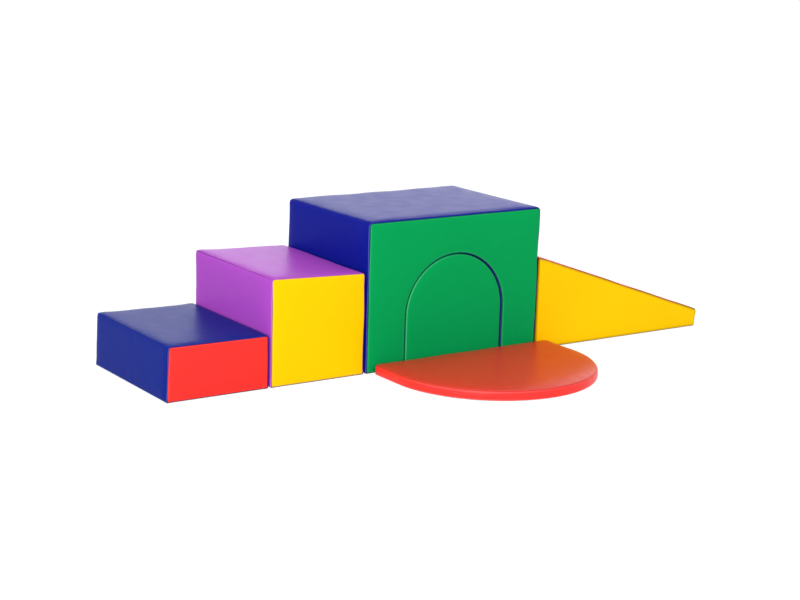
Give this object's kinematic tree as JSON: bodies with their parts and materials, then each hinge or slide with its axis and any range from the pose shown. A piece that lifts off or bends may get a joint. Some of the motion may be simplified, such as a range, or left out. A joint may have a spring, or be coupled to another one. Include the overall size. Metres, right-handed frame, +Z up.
{
  "type": "soft play foam climber",
  "caption": "Soft play climber of foam blocks in sewn vinyl: steps, an arched crawl-through block with its plug, a slide wedge and a half-round landing mat.",
  "frame": {"origin": "under the middle of the row's outer box, at floor level", "axes": "+X along the row from the low step to the wedge's nose, -Y towards the arch's front and the mat, +Z up"},
  "size_m": [1.8524, 0.8766, 0.43],
  "materials": {
    "foam": "open-cell foam",
    "base": "dotted anti-slip cloth",
    "zip_tape": "woven tape with nylon coil",
    "zip_metal": "satin",
    "hook_loop": "hook and loop pile",
    "navy_vinyl": "glossy vinyl leathercloth",
    "blue_vinyl": "glossy vinyl leathercloth",
    "red_vinyl": "glossy vinyl leathercloth",
    "purple_vinyl": "glossy vinyl leathercloth",
    "yellow_vinyl": "glossy vinyl leathercloth",
    "green_vinyl": "glossy vinyl leathercloth"
  },
  "bodies": {
    "tunnel_block": {"tunnel_block_foam_core": "foam", "tunnel_block_band": "blue_vinyl", "tunnel_block_arch_lining": "blue_vinyl", "tunnel_block_front_panel": "green_vinyl", "tunnel_block_back_panel": "green_vinyl", "tunnel_block_left_base": "base", "tunnel_block_right_base": "base", "tunnel_block_zip": "zip_tape", "tunnel_block_left_loop_strip_front": "hook_loop", "tunnel_block_left_loop_strip_back": "hook_loop", "tunnel_block_right_loop_strip_front": "hook_loop", "tunnel_block_right_loop_strip_back": "hook_loop"},
    "mid_step": {"mid_step_foam_core": "foam", "mid_step_band": "purple_vinyl", "mid_step_front_panel": "yellow_vinyl", "mid_step_back_panel": "yellow_vinyl", "mid_step_base": "base", "mid_step_zip": "zip_tape", "mid_step_loop_strip_front": "hook_loop", "mid_step_loop_strip_back": "hook_loop", "mid_step_hook_strip_front": "hook_loop", "mid_step_hook_strip_back": "hook_loop"},
    "low_step": {"low_step_foam_core": "foam", "low_step_band": "navy_vinyl", "low_step_front_panel": "red_vinyl", "low_step_back_panel": "red_vinyl", "low_step_base": "base", "low_step_zip": "zip_tape", "low_step_hook_strip_front": "hook_loop", "low_step_hook_strip_back": "hook_loop"},
    "slide_wedge": {"slide_wedge_foam_core": "foam", "slide_wedge_band": "red_vinyl", "slide_wedge_front_panel": "yellow_vinyl", "slide_wedge_back_panel": "yellow_vinyl", "slide_wedge_base": "base", "slide_wedge_zip": "zip_tape", "slide_wedge_hook_strip_front": "hook_loop", "slide_wedge_hook_strip_back": "hook_loop"},
    "arch_plug": {"arch_plug_foam_core": "foam", "arch_plug_band": "green_vinyl", "arch_plug_front_panel": "green_vinyl", "arch_plug_back_panel": "green_vinyl", "arch_plug_base": "base", "arch_plug_zip": "zip_tape"},
    "landing_mat": {"landing_mat_foam_core": "foam", "landing_mat_rim_band": "red_vinyl", "landing_mat_top_panel": "red_vinyl", "landing_mat_base": "base", "landing_mat_zip": "zip_tape"},
    "tunnel_block_zip_slider": {"tunnel_block_zip_slider": "zip_metal"},
    "mid_step_zip_slider": {"mid_step_zip_slider": "zip_metal"},
    "low_step_zip_slider": {"low_step_zip_slider": "zip_metal"},
    "slide_wedge_zip_slider": {"slide_wedge_zip_slider": "zip_metal"},
    "arch_plug_zip_slider": {"arch_plug_zip_slider": "zip_metal"},
    "landing_mat_zip_slider": {"landing_mat_zip_slider": "zip_metal"}
  },
  "joints": [
    {"name": "mid_step_pull_off", "type": "slide", "parent": "tunnel_block", "child": "mid_step", "axis": [-1, 0, 0], "range_m": [0, 0.3]},
    {"name": "low_step_pull_off", "type": "slide", "parent": "mid_step", "child": "low_step", "axis": [-1, 0, 0], "range_m": [0, 0.3]},
    {"name": "slide_wedge_pull_off", "type": "slide", "parent": "tunnel_block", "child": "slide_wedge", "axis": [1, 0, 0], "range_m": [0, 0.3]},
    {"name": "arch_plug_push_out", "type": "slide", "parent": "tunnel_block", "child": "arch_plug", "axis": [0, 1, 0], "range_m": [0, 0.5]},
    {"name": "landing_mat_pull_away", "type": "slide", "parent": "tunnel_block", "child": "landing_mat", "axis": [0, -1, 0], "range_m": [0, 0.3]},
    {"name": "tunnel_block_zip_run", "type": "slide", "parent": "tunnel_block", "child": "tunnel_block_zip_slider", "axis": [1, 0, 0], "range_m": [0, 0.504]},
    {"name": "mid_step_zip_run", "type": "slide", "parent": "mid_step", "child": "mid_step_zip_slider", "axis": [1, 0, 0], "range_m": [0, 0.204]},
    {"name": "low_step_zip_run", "type": "slide", "parent": "low_step", "child": "low_step_zip_slider", "axis": [1, 0, 0], "range_m": [0, 0.204]},
    {"name": "slide_wedge_zip_run", "type": "slide", "parent": "slide_wedge", "child": "slide_wedge_zip_slider", "axis": [1, 0, 0], "range_m": [0, 0.549]},
    {"name": "arch_plug_zip_run", "type": "slide", "parent": "arch_plug", "child": "arch_plug_zip_slider", "axis": [1, 0, 0], "range_m": [0, 0.236]},
    {"name": "landing_mat_zip_run", "type": "slide", "parent": "landing_mat", "child": "landing_mat_zip_slider", "axis": [1, 0, 0], "range_m": [0, 0.48]}
  ]
}
